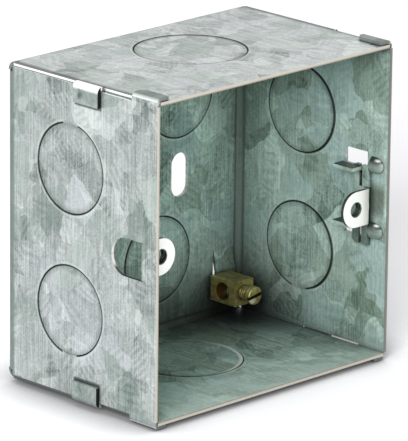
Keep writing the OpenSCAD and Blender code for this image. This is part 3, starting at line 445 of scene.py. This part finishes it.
crevice = add_node(tree, "ShaderNodeAmbientOcclusion", {"Distance": 1.5 * MM}, out="AO", samples=4)
colour = tint(tree, colour, "#171405", 0.8, add_node(tree, "ShaderNodeMapRange", {0: crevice, 1: 0.9, 2: 0.2}))
tree.links.new(colour, shader.inputs["Base Color"])
shader.inputs["Metallic"].default_value = 0.75
dull = add_node(tree, "ShaderNodeMapRange", {0: stain, 3: 0.42, 4: 0.25})
tree.links.new(dull, shader.inputs["Roughness"])
dress("earth_terminal_block", brass)

# Earth screw: a cheese-head brass screw, turned, slotted and threaded M3.5, that clamps the wire in the
# block. It turns in the block's own thread, so its crests just clear the bore.
SCREW_X, SCREW_Z, HEAD_FRONT = 28.4 * MM, 8.6 * MM, 10.1 * MM
HEAD_R, HEAD_H, SHANK_END = 2.15 * MM, 1.2 * MM, 17.6 * MM
SHANK_R, SCREW_CREST_R, SCREW_PITCH = 1.38 * MM, 1.70 * MM, 0.6 * MM
SLOT_W, SLOT_D, SLOT_TURN = 0.8 * MM, 0.6 * MM, math.radians(-9)
# The slot is painted near black, painted shade, and a painted highlight lies on the head beside it.
off_slot = add_node(tree, "ShaderNodeVectorMath", {0: place, 1: (math.sin(SLOT_TURN), 0.0, math.cos(SLOT_TURN))}, out="Value", operation="DOT_PRODUCT")
off_slot = add_node(tree, "ShaderNodeMath", {0: off_slot, 1: SCREW_X * math.sin(SLOT_TURN) + SCREW_Z * math.cos(SLOT_TURN)}, operation="SUBTRACT")
in_slot = patch(tree, (off_slot, -SLOT_W / 2 - 0.02 * MM, SLOT_W / 2 + 0.02 * MM, 0.01 * MM), (y, HEAD_FRONT + 0.06 * MM, HEAD_FRONT + SLOT_D + 0.05 * MM, 0.02 * MM))
colour = tint(tree, colour, "#120f04", 0.92, in_slot)
head_highlight = patch(tree, (off_slot, -1.5 * MM, -0.4 * MM, 0.2 * MM), (x, SCREW_X - 2.0 * MM, SCREW_X - 0.2 * MM, 0.5 * MM), (y, HEAD_FRONT - 0.1 * MM, HEAD_FRONT + 0.2 * MM, 0.1 * MM))
colour = tint(tree, colour, "#fbf5cf", 0.85, head_highlight)
tree.links.new(colour, shader.inputs["Base Color"])
bpy.ops.object.select_all(action="DESELECT")
bpy.ops.mesh.primitive_cylinder_add(vertices=64, radius=HEAD_R, depth=HEAD_H,
                                    location=(SCREW_X, HEAD_FRONT + HEAD_H / 2, SCREW_Z), rotation=(math.pi / 2, 0, 0))
screw = bpy.context.object
screw.name = "earth_screw"
bpy.ops.object.transform_apply(location=True, rotation=True, scale=True)
for face in screw.data.polygons:
    face.select = face.normal.y > 0.9
bpy.ops.object.mode_set(mode="EDIT")
bpy.ops.mesh.select_mode(type="FACE")
bpy.ops.mesh.inset(thickness=HEAD_R - SHANK_R)
bpy.ops.mesh.extrude_region_move(TRANSFORM_OT_translate={"value": (0, SHANK_END - HEAD_FRONT - HEAD_H - 0.5 * MM, 0)})
bpy.ops.mesh.extrude_region_move(TRANSFORM_OT_translate={"value": (0, 0.5 * MM, 0)})
bpy.ops.transform.resize(value=(0.7, 1, 0.7), center_override=(SCREW_X, SHANK_END, SCREW_Z))
bpy.ops.mesh.select_all(action="DESELECT")
bpy.ops.mesh.select_mode(type="EDGE")
bpy.ops.object.mode_set(mode="OBJECT")
for edge in screw.data.edges:
    ends = [screw.data.vertices[i].co for i in edge.vertices]
    edge.select = all(abs(end.y - HEAD_FRONT) < 1e-6 for end in ends)
bpy.ops.object.mode_set(mode="EDIT")
bpy.ops.mesh.bevel(offset=0.3 * MM, segments=4)
bpy.ops.mesh.select_mode(type="FACE")
bpy.ops.object.mode_set(mode="OBJECT")
bpy.ops.object.select_all(action="DESELECT")
bpy.ops.mesh.primitive_cube_add(size=1, location=(SCREW_X, HEAD_FRONT, SCREW_Z), rotation=(0, SLOT_TURN, 0),
                                scale=(4 * HEAD_R, 2 * SLOT_D, SLOT_W))
saw = bpy.context.object
cut = screw.modifiers.new("slot", "BOOLEAN")
cut.operation = "DIFFERENCE"
cut.solver = "EXACT"
cut.object = saw
bpy.ops.object.select_all(action="DESELECT")
screw.select_set(True)
bpy.context.view_layer.objects.active = screw
bpy.ops.object.modifier_apply(modifier="slot")
bpy.data.objects.remove(saw)
screw.data.materials.append(brass)
bpy.ops.object.shade_smooth_by_angle(angle=math.radians(30))
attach(screw, "earth_screw")
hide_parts("earth_terminal_screw")
turns = int((SHANK_END - 0.7 * MM - HEAD_FRONT - HEAD_H) / SCREW_PITCH)
screw_thread = thread_ridge("earth_screw_thread", (SCREW_X, HEAD_FRONT + HEAD_H + 0.3 * MM, SCREW_Z), SHANK_R, SCREW_CREST_R,
                            SCREW_PITCH, turns, brass, "earth_screw")

# White table in a light tent: not part of the object. The tent is white to the camera and to
# reflections, and the table shows white with the object's soft shadow.
world = bpy.data.worlds.new("Light tent")
bpy.context.scene.world = world
world.use_nodes = True
tree = world.node_tree
tree.nodes.clear()
camera_ray = add_node(tree, "ShaderNodeLightPath", {}, out="Is Camera Ray")
glossy_ray = add_node(tree, "ShaderNodeLightPath", {}, out="Is Glossy Ray")
clear_ray = add_node(tree, "ShaderNodeLightPath", {}, out="Is Transmission Ray")
seen = add_node(tree, "ShaderNodeMath", {0: camera_ray, 1: glossy_ray}, operation="MAXIMUM")
seen = add_node(tree, "ShaderNodeMath", {0: seen, 1: clear_ray}, operation="MAXIMUM")
tent = add_node(tree, "ShaderNodeBackground", {0: (1, 1, 1, 1), 1: 0.75})
white = add_node(tree, "ShaderNodeBackground", {0: (1, 1, 1, 1), 1: 1.0})
light = add_node(tree, "ShaderNodeMixShader", {0: seen, 1: tent, 2: white})
add_node(tree, "ShaderNodeOutputWorld", {0: light}, out=None)

bpy.ops.object.select_all(action="DESELECT")
bpy.ops.mesh.primitive_plane_add(size=8, location=(0, 0, -0.2 * MM))
table = bpy.context.object
table.name = "white_table"
paper = bpy.data.materials.new("White paper")
paper.use_nodes = True
tree = paper.node_tree
tree.nodes.clear()
# A painted contact shadow close round the object's foot.
contact = add_node(tree, "ShaderNodeAmbientOcclusion", {"Distance": 16 * MM}, out="AO", samples=8)
contact = add_node(tree, "ShaderNodeMapRange", {0: contact, 1: 0.98, 2: 0.4, 3: 0.0, 4: 0.75})
contact = tint(tree, srgb("#fdfdff"), "#59595c", 1.0, contact)
matt = add_node(tree, "ShaderNodeBsdfDiffuse", {0: contact})
glow = add_node(tree, "ShaderNodeEmission", {0: (1, 1, 1, 1), 1: 0.04})
camera_ray = add_node(tree, "ShaderNodeLightPath", {}, out="Is Camera Ray")
glow = add_node(tree, "ShaderNodeMixShader", {0: camera_ray, 1: add_node(tree, "ShaderNodeEmission", {1: 0.0}), 2: glow})
sheet = add_node(tree, "ShaderNodeAddShader", {0: matt, 1: glow})
add_node(tree, "ShaderNodeOutputMaterial", {0: sheet}, out=None)
table.data.materials.append(paper)

bpy.ops.object.light_add(type="AREA", location=(-1.05, -0.62, 0.58))
key = bpy.context.object
key.data.size = 0.6
key.data.energy = 20
key.rotation_euler = (Vector((0, 0, 0.03)) - key.location).to_track_quat("-Z", "Y").to_euler()

# Camera: a long lens from the front left, a little above the box, rolled by under a degree.
eye = Vector((-0.7690, -0.7727, 0.36625))
yaw, pitch, roll = math.radians(44.92), math.radians(16.93), math.radians(0.65)
ahead = Vector((math.sin(yaw) * math.cos(pitch), math.cos(yaw) * math.cos(pitch), -math.sin(pitch)))
level = Vector((math.cos(yaw), -math.sin(yaw), 0))
upright = level.cross(ahead)
right = level * math.cos(roll) + upright * math.sin(roll)
up = upright * math.cos(roll) - level * math.sin(roll)
bpy.ops.object.camera_add()
camera = bpy.context.object
camera.matrix_world = Matrix.Translation(eye) @ Matrix((right, up, -ahead)).transposed().to_4x4()
camera.data.sensor_fit = "VERTICAL"
camera.data.sensor_height = 36
camera.data.lens = 5180 / 441 * 36
camera.data.shift_y = 0.002
camera.data.clip_start = 0.05
camera.data.clip_end = 50
bpy.context.scene.camera = camera
bpy.context.scene.view_settings.view_transform = "Standard"
